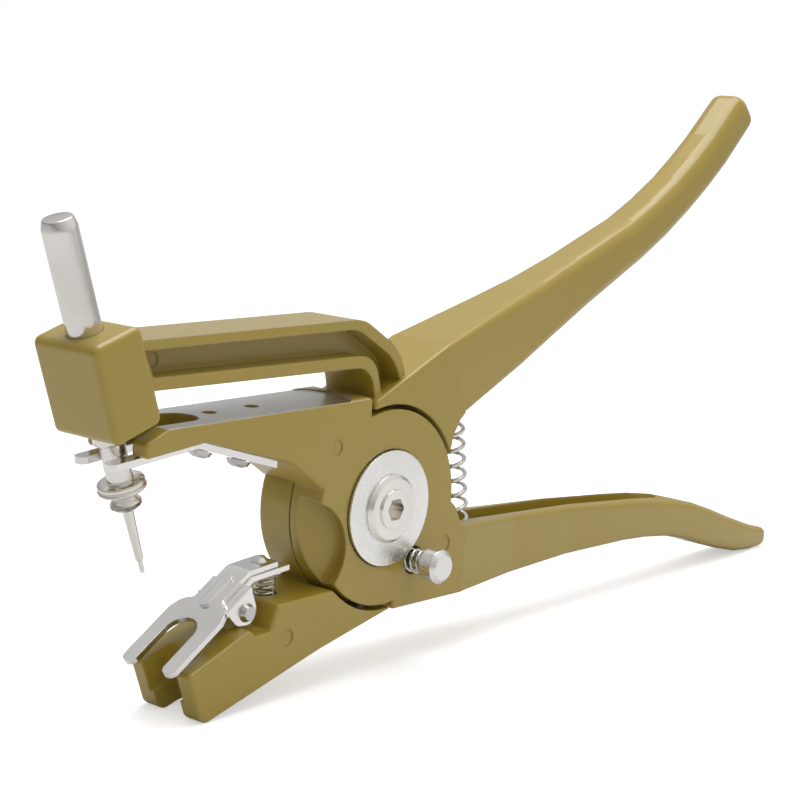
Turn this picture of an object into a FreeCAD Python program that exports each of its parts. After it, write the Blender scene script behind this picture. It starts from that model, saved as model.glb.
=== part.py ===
import FreeCAD, Part
import math
import os
import Sketcher

Vector = FreeCAD.Vector
Placement = FreeCAD.Placement
Rotation = FreeCAD.Rotation

doc = FreeCAD.newDocument("EarTagApplicator")

# Driving dimensions, millimetres and degrees
sheet = doc.addObject("Spreadsheet::Sheet", "Sizes")
sizes = [
    ("pivot_x", -53.72, "pivot bolt, from the middle of the tool's length"),
    ("pivot_z", 48.44, "pivot bolt, above the surface the tool stands on"),
    ("hub_radius", 28.5, "lapped hub discs"),
    ("hub_clear", 30.0, "arc that clears the other half's hub disc"),
    ("half_width", 11.5, "half of the castings' full width"),
    ("lap_gap", 0.3, "half of the gap between the lapped discs"),
    ("grip_half", 7.2, "half width of both handles at the grip"),
    ("grip_round", 3.4, "rounding of the upper grip"),
    ("edge_round", 0.9, "rounding of the cast edges"),
    ("arm_half", 9.4, "half width of the guide arm"),
    ("web_half", 2.4, "half thickness of the guide arm's web"),
    ("block_half", 12.0, "half width of the guide block"),
    ("rod_tilt", 18.0, "lean of the plunger from upright"),
    ("rod_foot_x", -85.0, "where the plunger axis meets the pivot's level"),
    ("rod_dia", 9.2, "plunger rod"),
    ("rod_fit", 0.05, "radial clearance of the rod in its bore"),
    ("rod_top", 90.4, "upper end of the rod"),
    ("rod_shoulder", 30.3, "lower shoulder of the thick rod"),
    ("neck_dia", 6.9, "turned neck that the fork grips"),
    ("flange_dia", 13.0, "push flange"),
    ("flange_top", 19.6, "upper face of the push flange"),
    ("flange_thick", 3.3, "push flange"),
    ("collar_dia", 8.4, "needle collar"),
    ("collar_long", 5.1, "needle collar"),
    ("needle_dia", 3.0, "needle at its root"),
    ("needle_end", 2.1, "needle at its shoulder"),
    ("needle_long", 15.0, "tapered length of the needle"),
    ("point_dia", 1.3, "nib at the end of the needle"),
    ("point_long", 3.8, "nib at the end of the needle"),
    ("jaw_slot_half", 6.2, "half width of the upper jaw's rod slot"),
    ("gate_half", 6.7, "half width of the lower jaw's slot"),
    ("gate_lip", 5.2, "half width between the slot's bottom lips"),
    ("fork_thick", 2.0, "fork plate"),
    ("fork_half", 8.0, "half width of the fork plate"),
    ("fork_slot_half", 3.8, "half width of the fork's slot"),
    ("bush_dia", 14.0, "pivot bush, outside"),
    ("bush_bore", 10.1, "pivot bush, inside"),
    ("pin_fit", 0.04, "radial clearance of the bush in the lever"),
    ("bolt_dia", 10.0, "pivot bolt shank"),
    ("head_dia", 20.0, "pivot bolt head"),
    ("hex_flats", 6.0, "hexagon socket"),
    ("washer_dia", 33.6, "large pivot washer"),
    ("washer_thick", 2.2, "large pivot washer"),
    ("washer_sink", 1.3, "depth of the counterbore for the washer"),
    ("lock_x", 12.3, "lock pin, from the pivot"),
    ("lock_z", -17.4, "lock pin, from the pivot"),
    ("lock_dia", 10.0, "lock button"),
    ("lock_shank", 4.0, "lock pin shank"),
    ("lock_foot", 7.0, "lock pin's inner head"),
    ("clip_thick", 1.6, "tag clip sheet"),
    ("clip_half", 10.1, "half width across the clip's prongs"),
    ("clip_slot_half", 5.3, "half width of the clip's slot"),
    ("clip_pin_x", -51.5, "clip pivot, from the hub pivot"),
    ("clip_pin_z", -22.3, "clip pivot, from the hub pivot"),
    ("clip_pin_dia", 3.0, "clip pivot screw"),
    ("rivet_x", -39.6, "clip rivet, from the hub pivot"),
    ("rivet_z", -12.15, "clip sheet's mid-plane at the rivet"),
    ("spring_wire", 1.0, "main spring wire"),
    ("spring_radius", 3.2, "main spring, mean radius"),
]
for row, (alias, value, meaning) in enumerate(sizes, start=1):
    sheet.set("A%d" % row, meaning)
    sheet.set("B%d" % row, "%g" % value)
    sheet.setAlias("B%d" % row, alias)
doc.recompute()


def size(alias):
    return float(sheet.get(alias))


def bind(thing, **expressions):
    """Tie properties to sheet cells; a double underscore stands for a dot."""
    for path, text in expressions.items():
        words = text.replace("@", "Sizes.")
        thing.setExpression(path.replace("__", "."), words)


def newBody(name):
    body = doc.addObject("PartDesign::Body", name)
    body.Label = name
    return body


def originPlane(body, role):
    for feature in body.Origin.OriginFeatures:
        if feature.Role == role:
            return feature
    raise ValueError(role)


def newSketch(body, role, name, offset=None):
    sketch = body.newObject("Sketcher::SketchObject", name)
    sketch.AttachmentSupport = [(originPlane(body, role), "")]
    sketch.MapMode = "FlatFace"
    if offset is not None:
        sketch.AttachmentOffset = offset
    return sketch


def loop(sketch, corners):
    """Closed outline through corners (x, y, radius), tangent arcs at the corners."""
    count = len(corners)
    entries = []
    for i, (x, y, radius) in enumerate(corners):
        here = Vector(x, y, 0)
        before = Vector(corners[i - 1][0], corners[i - 1][1], 0)
        after = Vector(corners[(i + 1) % count][0], corners[(i + 1) % count][1], 0)
        back = (before - here).normalize()
        ahead = (after - here).normalize()
        if radius <= 0:
            entries.append((here, None, here))
            continue
        half = back.getAngle(ahead) / 2
        reach = radius / math.tan(half)
        centre = here + (back + ahead).normalize() * (radius / math.sin(half))
        middle = centre + (here - centre).normalize() * radius
        entries.append((here + back * reach, middle, here + ahead * reach))
    for i, (first, middle, last) in enumerate(entries):
        if middle is not None:
            sketch.addGeometry(Part.Arc(first, middle, last), False)
        start = entries[(i + 1) % count][0]
        if last.distanceToPoint(start) > 1e-6:
            sketch.addGeometry(Part.LineSegment(last, start), False)
    join(sketch, start=sketch.GeometryCount - made(entries))


def made(entries):
    """Number of elements that loop() drew for its corners."""
    lines = sum(1 for i, entry in enumerate(entries)
                if entry[2].distanceToPoint(entries[(i + 1) % len(entries)][0]) > 1e-6)
    return lines + sum(1 for entry in entries if entry[1] is not None)


def join(sketch, start):
    """Coincident constraints where neighbouring elements of an outline meet."""
    total = sketch.GeometryCount
    for i in range(start, total):
        following = i + 1 if i + 1 < total else start
        for here in (1, 2):
            for there in (1, 2):
                gap = sketch.getPoint(i, here).distanceToPoint(sketch.getPoint(following, there))
                if gap < 1e-5:
                    sketch.addConstraint(Sketcher.Constraint("Coincident", i, here, following, there))


def circle(sketch, radius, x="0", y="0"):
    """Circle whose radius and centre are sheet expressions."""
    start = Vector(0.1, 0.1, 0)
    index = sketch.addGeometry(Part.Circle(start, Vector(0, 0, 1), 1.0), False)
    ring = sketch.addConstraint(Sketcher.Constraint("Radius", index, 1.0))
    across = sketch.addConstraint(Sketcher.Constraint("DistanceX", -1, 1, index, 3, 0.1))
    upward = sketch.addConstraint(Sketcher.Constraint("DistanceY", -1, 1, index, 3, 0.1))
    sketch.setExpression("Constraints[%d]" % ring, radius.replace("@", "Sizes."))
    sketch.setExpression("Constraints[%d]" % across, x.replace("@", "Sizes."))
    sketch.setExpression("Constraints[%d]" % upward, y.replace("@", "Sizes."))
    return index


def pad(body, sketch, length, symmetric=False, reverse=False):
    feature = body.newObject("PartDesign::Pad", "Pad_" + sketch.Name)
    feature.Profile = sketch
    if symmetric:
        feature.SideType = "Symmetric"
    feature.Reversed = reverse
    bind(feature, Length=length)
    sketch.Visibility = False
    return feature


def pocket(body, sketch, length=None, symmetric=False, reverse=False):
    doc.recompute()
    before = body.Tip.Shape.Volume
    feature = body.newObject("PartDesign::Pocket", "Pocket_" + sketch.Name)
    feature.Profile = sketch
    if symmetric:
        feature.SideType = "Symmetric"
    feature.Reversed = reverse
    if length is None:
        feature.Type = "ThroughAll"
    else:
        bind(feature, Length=length)
    sketch.Visibility = False
    doc.recompute()
    if feature.Shape.Volume >= before - 1e-3:
        raise ValueError(feature.Name + " cut nothing")
    return feature


def roundEdges(body, name, radius, pick):
    """Fillet the edges of the body's last shape that pick(edge) chooses."""
    doc.recompute()
    base = body.Tip
    chosen = ["Edge%d" % (i + 1) for i, edge in enumerate(base.Shape.Edges) if pick(edge)]
    if not chosen:
        raise ValueError(name + " found no edge")
    feature = body.newObject("PartDesign::Fillet", name)
    feature.Base = (base, chosen)
    bind(feature, Radius=radius)
    doc.recompute()
    if feature.Shape.isNull():
        raise ValueError(name + " failed")
    return feature


def span(edge):
    """Bounds of an edge, from points on it."""
    bounds = FreeCAD.BoundBox()
    first, last = edge.ParameterRange
    for step in range(9):
        bounds.add(edge.valueAt(first + (last - first) * step / 8))
    return bounds


def section(body, name, station):
    """Rounded section across a handle: (x, z, slope, half width, depth, corner)."""
    x, z, slope, wide, deep, corner = station
    place = Placement(Vector(0, z, x), Rotation(Vector(1, 0, 0), -slope))
    sketch = newSketch(body, "YZ_Plane", name, place)
    loop(sketch, [
        (-wide, -deep / 2, corner),
        (wide, -deep / 2, corner),
        (wide, deep / 2, corner),
        (-wide, deep / 2, corner),
    ])
    return sketch


def handleLoft(body, name, stations):
    sections = [section(body, "%s%d" % (name, i), station) for i, station in enumerate(stations)]
    feature = body.newObject("PartDesign::AdditiveLoft", "Loft_" + name)
    feature.Profile = sections[0]
    feature.Sections = sections[1:]
    feature.Ruled = True
    doc.recompute()
    return feature


def tilted(x, z, lean, y=0.0):
    """Offset of a sketch on the XY plane: moved to (x, y, z) and leaning about Y."""
    return Placement(Vector(x, y, z), Rotation(Vector(0, 1, 0), lean))


# ---------------------------------------------------------------- frame casting
half = size("half_width")
gap = size("lap_gap")
frame = newBody("frame_casting")

discSketch = newSketch(frame, "XZ_Plane", "FrameDisc")
bind(discSketch, AttachmentOffset__Base__z="-@half_width")
circle(discSketch, "@hub_radius")
pad(frame, discSketch, "@half_width - @lap_gap")

jawSketch = newSketch(frame, "XZ_Plane", "LowerJaw")
loop(jawSketch, [
    (-76.2, -34.4, 1.5),
    (-53.6, -26.0, 1.4),
    (-51.2, -28.0, 1.2),
    (-46.2, -28.0, 1.2),
    (-43.2, -20.8, 1.5),
    (2.8, -20.6, 0),
    (2.8, -30.6, 0),
    (-26.0, -36.9, 60.0),
    (-70.7, -49.1, 3.2),
])
pad(frame, jawSketch, "2 * @half_width", symmetric=True)

rootSketch = newSketch(frame, "XZ_Plane", "HandleRoot")
loop(rootSketch, [
    (-6.9, 31.4, 1.5),
    (24.7, 45.2, 0),
    (33.3, 23.9, 0),
    (31.6, 23.1, 1.5),
    (28.2, 18.0, 4.0),
    (26.8, 12.6, 0.6),
    (12.0, 6.0, 0),
    (-6.9, 16.0, 0),
])
pad(frame, rootSketch, "2 * @half_width", symmetric=True)

armSketch = newSketch(frame, "XZ_Plane", "GuideArm")
loop(armSketch, [
    (-96.0, 55.6, 0),
    (-11.0, 54.9, 11.0),
    (5.6, 44.5, 16.0),
    (8.0, 34.0, 0),
    (-4.9, 30.0, 0),
    (-7.0, 41.2, 7.5),
    (-96.0, 42.6, 0),
])
pad(frame, armSketch, "2 * @arm_half", symmetric=True)

blockSketch = newSketch(frame, "XZ_Plane", "GuideBlock",
                        Placement(Vector(size("rod_foot_x"), 0, 0), Rotation(Vector(0, 0, 1), size("rod_tilt"))))
loop(blockSketch, [
    (-7.6, 33.8, 2.2),
    (8.4, 33.8, 2.2),
    (8.4, 60.4, 2.2),
    (-7.6, 60.4, 2.2),
])
bind(blockSketch, AttachmentOffset__Base__x="@rod_foot_x", AttachmentOffset__Rotation__Angle="@rod_tilt")
pad(frame, blockSketch, "2 * @block_half", symmetric=True)

lugSketch = newSketch(frame, "XZ_Plane", "ClipLug")
loop(lugSketch, [
    (-56.9, -30.0, 0),
    (-53.6, -20.4, 2.6),
    (-49.2, -18.9, 2.6),
    (-46.6, -30.0, 0),
])
pad(frame, lugSketch, "2 * 5.4", symmetric=True)

# rounding before the cuts, so that it follows whole outlines
blockAxis = Rotation(Vector(0, 1, 0), -size("rod_tilt")).multVec(Vector(0, 0, 1))


def isBlockCorner(edge):
    box = span(edge)
    wide = size("block_half")
    if box.YLength > 2e-3 or abs(abs(box.YMin) - wide) > 5e-3:
        return False
    return box.XMax < -70 and box.ZMin > 20


roundEdges(frame, "BlockRound", "@edge_round + 0.7", isBlockCorner)


def isJawOuter(edge):
    box = span(edge)
    if box.YLength > 2e-3 or abs(abs(box.YMin) - half) > 5e-3:
        return False
    jaw = box.ZMax < -20.2 and box.XMax < 2.9
    root = box.ZMin > 31.2 and box.ZMax < 46
    return jaw or root


roundEdges(frame, "JawRound", "@edge_round", isJawOuter)

grip = size("grip_half")
handleLoft(frame, "Grip", [
    (29.0, 34.55, 22.0, half, 23.0, 1.2),
    (60.0, 44.8, 20.5, grip + 1.8, 21.2, 2.6),
    (78.0, 51.3, 20.6, grip + 0.7, 19.3, 3.4),
    (96.0, 58.4, 21.5, grip + 0.1, 17.6, 4.0),
    (126.0, 70.6, 25.5, grip, 15.4, 4.6),
    (139.0, 77.1, 29.3, grip, 14.9, 4.7),
    (152.0, 84.8, 33.0, grip, 14.4, 4.8),
    (162.0, 91.7, 36.2, grip, 14.3, 4.8),
    (172.0, 99.4, 39.5, grip, 14.2, 4.8),
    (188.6, 114.3, 42.0, grip - 0.2, 14.0, 4.8),
])


def isGripEnd(edge):
    box = span(edge)
    return box.XMin > 181 and box.XMax - box.XMin < 11


roundEdges(frame, "GripEnd", "3.6 * 1", isGripEnd)

# near half cleared for the lever's hub disc
clearSketch = newSketch(frame, "XZ_Plane", "HubClear")
bind(clearSketch, AttachmentOffset__Base__z="-@lap_gap")
circle(clearSketch, "@hub_clear")
pocket(frame, clearSketch, "@half_width + 5", reverse=True)

boreSketch = newSketch(frame, "XZ_Plane", "FrameBore")
circle(boreSketch, "@bush_dia / 2 + 0.01")
pocket(frame, boreSketch, symmetric=True)

rodSketch = newSketch(frame, "XY_Plane", "RodBore", tilted(size("rod_foot_x"), 0, -size("rod_tilt")))
bind(rodSketch, AttachmentOffset__Base__x="@rod_foot_x", AttachmentOffset__Rotation__Angle="-@rod_tilt")
circle(rodSketch, "@rod_dia / 2 + @rod_fit")
pocket(frame, rodSketch, "75 * 1", reverse=True)

# channels on both sides of the guide arm, web between them
for side, name in ((1, "ArmChannelFar"), (-1, "ArmChannelNear")):
    channel = newSketch(frame, "XZ_Plane", name)
    loop(channel, [
        (-92.4, 53.0, 0),
        (-13.5, 52.3, 10.0),
        (2.8, 42.5, 14.0),
        (5.2, 36.2, 0),
        (-2.6, 33.0, 0),
        (-6.0, 44.6, 8.0),
        (-89.0, 45.8, 0),
    ])
    if side > 0:
        bind(channel, AttachmentOffset__Base__z="-@web_half")
    else:
        bind(channel, AttachmentOffset__Base__z="@web_half")
    pocket(frame, channel, "@arm_half - @web_half + 0.05", reverse=(side < 0))

gateSketch = newSketch(frame, "XY_Plane", "JawGate", tilted(size("rod_foot_x"), 0, -size("rod_tilt")))
loop(gateSketch, [
    (-14.0, -size("gate_half"), 0),
    (11.4, -size("gate_half"), size("gate_half") - 0.1),
    (11.4, size("gate_half"), size("gate_half") - 0.1),
    (-14.0, size("gate_half"), 0),
])
bind(gateSketch, AttachmentOffset__Base__x="@rod_foot_x", AttachmentOffset__Rotation__Angle="-@rod_tilt")
bind(gateSketch, AttachmentOffset__Base__z="0 - 44.6 * cos(@rod_tilt) + 0")
gateSketch.setExpression("AttachmentOffset.Base.x", "Sizes.rod_foot_x + 44.6 * sin(Sizes.rod_tilt)")
pocket(frame, gateSketch, "30 * 1", reverse=True)

lipSketch = newSketch(frame, "XY_Plane", "JawLips", tilted(size("rod_foot_x"), 0, -size("rod_tilt")))
loop(lipSketch, [
    (-14.0, -size("gate_lip"), 0),
    (9.9, -size("gate_lip"), size("gate_lip") - 0.1),
    (9.9, size("gate_lip"), size("gate_lip") - 0.1),
    (-14.0, size("gate_lip"), 0),
])
lipSketch.setExpression("AttachmentOffset.Base.x", "Sizes.rod_foot_x + 60 * sin(Sizes.rod_tilt)")
bind(lipSketch, AttachmentOffset__Base__z="0 - 60 * cos(@rod_tilt)", AttachmentOffset__Rotation__Angle="-@rod_tilt")
pocket(frame, lipSketch, "30 * 1", reverse=True)

# groove that takes the lock pin's foot over the whole stroke
grooveSketch = newSketch(frame, "XZ_Plane", "LockGroove")
lockReach = math.hypot(size("lock_x"), size("lock_z"))
lockAngle = math.atan2(size("lock_z"), size("lock_x"))
swing = math.radians(17.0)
grooveHalf = size("lock_foot") / 2 + 0.4


def polar(radius, angle):
    return Vector(radius * math.cos(angle), radius * math.sin(angle), 0)


def arcGroove(sketch, reach, start, stop, halfWidth):
    middle = (start + stop) / 2
    inner = reach - halfWidth
    outer = reach + halfWidth
    capStart = polar(reach, start) + polar(halfWidth, start - math.pi / 2)
    capStop = polar(reach, stop) + polar(halfWidth, stop + math.pi / 2)
    sketch.addGeometry(Part.Arc(polar(outer, start), polar(outer, middle), polar(outer, stop)), False)
    sketch.addGeometry(Part.Arc(polar(outer, stop), capStop, polar(inner, stop)), False)
    sketch.addGeometry(Part.Arc(polar(inner, stop), polar(inner, middle), polar(inner, start)), False)
    sketch.addGeometry(Part.Arc(polar(inner, start), capStart, polar(outer, start)), False)


arcGroove(grooveSketch, lockReach, lockAngle, lockAngle + swing, grooveHalf)
bind(grooveSketch, AttachmentOffset__Base__z="-@lap_gap")
pocket(frame, grooveSketch, "4.2 * 1")

# seats for the main spring and the clip spring, and the clip's pivot hole
seatSketch = newSketch(frame, "XY_Plane", "SpringSeat", tilted(39.6, 22.0, -7.8))
circle(seatSketch, "@spring_radius + 1.1")
pocket(frame, seatSketch, "9.5 * 1", reverse=True)

clipSeatSketch = newSketch(frame, "XY_Plane", "ClipSpringSeat", tilted(-37.4, -20.7, 0))
circle(clipSeatSketch, "3.6")
pocket(frame, clipSeatSketch, "1.6 * 1")

pinSketch = newSketch(frame, "XZ_Plane", "ClipPinHole")
circle(pinSketch, "@clip_pin_dia / 2 + 0.05", "@clip_pin_x", "@clip_pin_z")
pocket(frame, pinSketch, symmetric=True)

# round marks left by the ejector pins
markSketch = newSketch(frame, "XZ_Plane", "FrameMark")
bind(markSketch, AttachmentOffset__Base__z="@half_width")
circle(markSketch, "2.4", "0 - 39.7", "0 - 30.8")
pocket(frame, markSketch, "0.3 * 1")

webMarkSketch = newSketch(frame, "XZ_Plane", "WebMark")
bind(webMarkSketch, AttachmentOffset__Base__z="@web_half")
circle(webMarkSketch, "2.0", "0 - 83.4", "49.0")
pocket(frame, webMarkSketch, "0.3 * 1")

# ---------------------------------------------------------------- lever casting
lever = newBody("lever_casting")

nearDisc = newSketch(lever, "XZ_Plane", "LeverDisc")
bind(nearDisc, AttachmentOffset__Base__z="@lap_gap")
circle(nearDisc, "@hub_radius")
pad(lever, nearDisc, "@half_width - @lap_gap")

upperJaw = newSketch(lever, "XZ_Plane", "UpperJaw")
loop(upperJaw, [
    (-84.0, 33.0, 1.5),
    (-8.2, 33.0, 1.6),
    (-8.2, 14.0, 0),
    (-20.0, 4.0, 0),
    (-31.6, 12.0, 1.5),
    (-39.8, 17.9, 1.2),
    (-71.5, 27.55, 6.0),
    (-92.6, 25.55, 1.2),
    (-92.6, 29.6, 1.4),
])
pad(lever, upperJaw, "2 * @half_width", symmetric=True)

lowerRoot = newSketch(lever, "XZ_Plane", "LowerRoot")
loop(lowerRoot, [
    (26.9, -1.0, 2.0),
    (30.6, -4.0, 3.0),
    (34.4, -10.8, 1.5),
    (36.0, -10.9, 0),
    (36.0, -31.5, 0),
    (4.2, -31.0, 1.0),
    (4.2, -12.0, 0),
    (16.0, -1.0, 0),
])
pad(lever, lowerRoot, "2 * @half_width", symmetric=True)


def isUpperJawEdge(edge):
    box = span(edge)
    if box.YLength > 2e-3 or abs(abs(box.YMin) - half) > 5e-3:
        return False
    jaw = box.ZMax > 12.5 and box.XMax < -8 and box.XMin < -33
    root = box.XMin > 3.9 and box.ZMax < -30 and box.XLength > 1
    return jaw or root


roundEdges(lever, "UpperJawRound", "@edge_round", isUpperJawEdge)

handleLoft(lever, "Lower", [
    (36.0, -21.2, 0.0, half, 20.6, 1.1),
    (64.0, -21.7, -1.5, grip + 1.3, 18.6, 1.6),
    (96.0, -22.4, -2.5, grip + 0.1, 16.4, 2.0),
    (130.0, -24.4, -5.0, grip, 14.2, 2.4),
    (144.0, -25.7, -8.3, grip, 13.8, 2.7),
    (158.0, -27.8, -12.0, grip, 13.4, 3.0),
    (171.0, -31.1, -16.5, grip, 13.3, 3.3),
    (184.0, -35.4, -20.0, grip, 13.2, 3.6),
    (195.0, -39.0, -18.6, grip - 0.2, 12.3, 3.5),
    (206.0, -42.23, -16.0, grip - 0.5, 11.2, 3.4),
    (215.0, -44.05, -9.5, grip - 0.9, 8.9, 2.9),
    (224.0, -44.94, -3.0, grip - 1.4, 6.4, 2.4),
])


def isLeverEnd(edge):
    return span(edge).XMin > 223.5


roundEdges(lever, "LeverEnd", "2 * 1", isLeverEnd)

# far half cleared for the frame's hub disc
farClear = newSketch(lever, "XZ_Plane", "FarClear")
bind(farClear, AttachmentOffset__Base__z="@lap_gap")
circle(farClear, "@hub_clear")
pocket(lever, farClear, "@half_width + 5")

rodSlot = newSketch(lever, "XY_Plane", "RodSlot")
slotHalf = size("jaw_slot_half")
loop(rodSlot, [
    (-100.0, -slotHalf, 0),
    (-66.6, -slotHalf, slotHalf - 0.05),
    (-66.6, slotHalf, slotHalf - 0.05),
    (-100.0, slotHalf, 0),
])
pocket(lever, rodSlot, "60 * 1", reverse=True)

# milled pad on top of the upper jaw, with the cutter's round end
millSketch = newSketch(lever, "XY_Plane", "MilledPad", Placement(Vector(0, 0, 34.0), Rotation()))
loop(millSketch, [
    (-100.0, -13.5, 0),
    (-11.5, -13.5, 13.4),
    (-11.5, 13.5, 13.4),
    (-100.0, 13.5, 0),
])
pocket(lever, millSketch, "1.45 * 1")

# main spring's channel in the lower handle
channelSketch = newSketch(lever, "XZ_Plane", "HandleChannel")
loop(channelSketch, [
    (32.0, 12.0, 0),
    (32.0, -27.4, 2.0),
    (112.0, -26.6, 0),
    (150.0, -28.0, 60.0),
    (166.0, -22.0, 12.0),
    (182.0, 12.0, 0),
])
pocket(lever, channelSketch, "2 * (@grip_half - 2.3)", symmetric=True)

leverBore = newSketch(lever, "XZ_Plane", "LeverBore")
circle(leverBore, "@bush_dia / 2 + @pin_fit")
pocket(lever, leverBore, symmetric=True)

sinkSketch = newSketch(lever, "XZ_Plane", "WasherSink")
bind(sinkSketch, AttachmentOffset__Base__z="@half_width")
circle(sinkSketch, "@washer_dia / 2 + 0.35")
pocket(lever, sinkSketch, "@washer_sink")

springHole = newSketch(lever, "XZ_Plane", "LockSpringHole")
bind(springHole, AttachmentOffset__Base__z="@half_width")
circle(springHole, "4.2", "@lock_x", "@lock_z")
pocket(lever, springHole, "5 * 1")

shankHole = newSketch(lever, "XZ_Plane", "LockShankHole")
bind(shankHole, AttachmentOffset__Base__z="@half_width")
circle(shankHole, "@lock_shank / 2 + 0.06", "@lock_x", "@lock_z")
pocket(lever, shankHole, "@half_width - @lap_gap")

footHole = newSketch(lever, "XZ_Plane", "LockFootHole")
circle(footHole, "@lock_foot / 2 + 0.2", "@lock_x", "@lock_z")
pocket(lever, footHole, "4.2 * 1", reverse=True)

# finger scoop at the rim of the near disc, its floor sloping out to the rim
scoopSketch = newSketch(lever, "XZ_Plane", "Scoop",
                        Placement(Vector(-29.5, -9.0, 2.1), Rotation(Vector(0, 1, 0), -24.0)))
circle(scoopSketch, "15", "0", "0")
pocket(lever, scoopSketch, "20 * 1", reverse=True)

# tapped holes for the fork screws
for index, reach in enumerate((9.0, 24.0), start=1):
    angle = math.radians(-17.0)
    hole = newSketch(lever, "XY_Plane", "ForkTap%d" % index,
                     tilted(-71.5 + reach * math.cos(angle), 27.4 + reach * math.sin(angle), 17.0))
    circle(hole, "2")
    pocket(lever, hole, "22 * 1", reverse=True)

leverMarks = newSketch(lever, "XZ_Plane", "LeverMarks")
bind(leverMarks, AttachmentOffset__Base__z="@half_width")
circle(leverMarks, "2.3", "0 - 22.6", "20.2")
circle(leverMarks, "2.6", "26.2", "0 - 14.8")
pocket(lever, leverMarks, "0.3 * 1")


# ---------------------------------------------------------------- turned pieces
def turned(name, steps, foot, lean=None):
    """Stack of round steps along one axis: (radius, end radius or None, length)."""
    pieces = []
    heights = []
    for number, (radius, end, length) in enumerate(steps, start=1):
        kind = "Part::Cylinder" if end is None else "Part::Cone"
        step = doc.addObject(kind, "%s_step%d" % (name, number))
        if end is None:
            bind(step, Radius=radius, Height=length)
        else:
            bind(step, Radius1=radius, Radius2=end, Height=length)
        if heights:
            bind(step, Placement__Base__z=" + ".join("(%s)" % text for text in heights))
        heights.append(length)
        pieces.append(step)
    doc.recompute()
    return pieces


def fused(name, pieces):
    result = doc.addObject("Part::MultiFuse", name)
    result.Shapes = pieces
    result.Refine = True
    result.Label = name
    return result


def cut(name, base, tool):
    result = doc.addObject("Part::Cut", name)
    result.Base = base
    result.Tool = tool
    result.Label = name
    return result


def cylinder(name, radius, length, x=0.0, y=0.0, z=0.0, turn=None):
    """Cylinder bound to the sheet; turn is the direction of its axis."""
    piece = doc.addObject("Part::Cylinder", name)
    bind(piece, Radius=radius, Height=length)
    axis = Rotation() if turn is None else Rotation(Vector(0, 0, 1), turn)
    piece.Placement = Placement(Vector(x, y, z), axis)
    return piece


def box(name, length, width, height, x, y, z):
    piece = doc.addObject("Part::Box", name)
    piece.Length = length
    piece.Width = width
    piece.Height = height
    piece.Placement = Placement(Vector(x, y, z), Rotation())
    return piece


def hexagon(name, flats, length, y):
    piece = doc.addObject("Part::Prism", name)
    piece.Polygon = 6
    bind(piece, Circumradius="(%s) / sqrt(3)" % flats, Height=length)
    piece.Placement = Placement(Vector(0, y, 0), Rotation(Vector(0, 0, 1), Vector(0, 1, 0)))
    return piece


away = Vector(0, 1, 0)
near = Vector(0, -1, 0)

rod = fused("plunger_rod", turned("rod", [
    ("@flange_dia / 2 - 0.9", "@flange_dia / 2", "0.9 * 1"),
    ("@flange_dia / 2", None, "@flange_thick - 1.5"),
    ("@flange_dia / 2", "@flange_dia / 2 - 0.6", "0.6 * 1"),
    ("@neck_dia / 2", None, "@rod_shoulder - @flange_top"),
    ("@rod_dia / 2 - 0.5", "@rod_dia / 2", "0.5 * 1"),
    ("@rod_dia / 2", None, "@rod_top - @rod_shoulder - 3"),
    ("@rod_dia / 2", "@rod_dia / 2 - 0.7", "2.5 * 1"),
], None))
doc.recompute()

needle = fused("needle", turned("needle", [
    ("@point_dia / 2 - 0.25", "@point_dia / 2", "0.5 * 1"),
    ("@point_dia / 2", None, "@point_long - 0.5"),
    ("@needle_end / 2", "@needle_dia / 2", "@needle_long"),
    ("@collar_dia / 2 - 0.8", "@collar_dia / 2", "0.8 * 1"),
    ("@collar_dia / 2", None, "@collar_long - 0.8"),
], None))

bushOuter = cylinder("bush_outer", "@bush_dia / 2", "2 * @half_width - 1.5", y=-10.15, turn=away)
bushInner = cylinder("bush_inner", "@bush_bore / 2", "2 * @half_width", y=-11.5, turn=away)
bush = cut("pivot_bush", bushOuter, bushInner)

washerOuter = cylinder("washer_outer", "@washer_dia / 2", "@washer_thick", y=-12.45, turn=away)
washerInner = cylinder("washer_inner", "@bolt_dia / 2 + 0.1", "@washer_thick + 2", y=-13.4, turn=away)
washer = cut("pivot_washer", washerOuter, washerInner)

shimOuter = cylinder("shim_outer", "@hub_radius - 11.8", "2 * @lap_gap - 0.1", y=-0.25, turn=away)
shimInner = cylinder("shim_inner", "@bush_dia / 2 + 0.1", "2", y=-1.0, turn=away)
shim = cut("friction_washer", shimOuter, shimInner)

farOuter = cylinder("far_outer", "11", "2", y=half + 0.02, turn=away)
farInner = cylinder("far_inner", "@bolt_dia / 2 + 0.1", "4", y=half - 1, turn=away)
farWasher = cut("pivot_nut_washer", farOuter, farInner)

nutBody = hexagon("nut_hex", "17", "6.2", half + 2.04)
nutTop = cylinder("nut_collar", "7.4", "8", y=half + 2.04, turn=away)
nutBoth = fused("nut_both", [nutBody, nutTop])
nutBore = cylinder("nut_bore", "@bolt_dia / 2 + 0.03", "14", y=half, turn=away)
nut = cut("pivot_nut", nutBoth, nutBore)

headRim = doc.addObject("Part::Cone", "head_rim")
bind(headRim, Radius1="@head_dia / 2", Radius2="@head_dia / 2 - 1.1", Height="1.1 * 1")
headRim.Placement = Placement(Vector(0, -12.97, 0), Rotation(Vector(0, 0, 1), near))
headBase = cylinder("head_base", "@head_dia / 2", "0.5", y=-12.47, turn=near)
headBoss = cylinder("head_boss", "@head_dia / 2 - 4.2", "2.2", y=-12.47, turn=near)
shank = cylinder("bolt_shank", "@bolt_dia / 2 - 0.01", "@half_width * 2 + 12.8", y=-12.5, turn=away)
boltSolid = fused("bolt_solid", [headRim, headBase, headBoss, shank])
socket = hexagon("bolt_socket", "@hex_flats", "6", -15.5)
socket.Placement = Placement(Vector(0, -15.5, 0), Rotation(Vector(0, 0, 1), away))
bolt = cut("pivot_bolt", boltSolid, socket)

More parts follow.
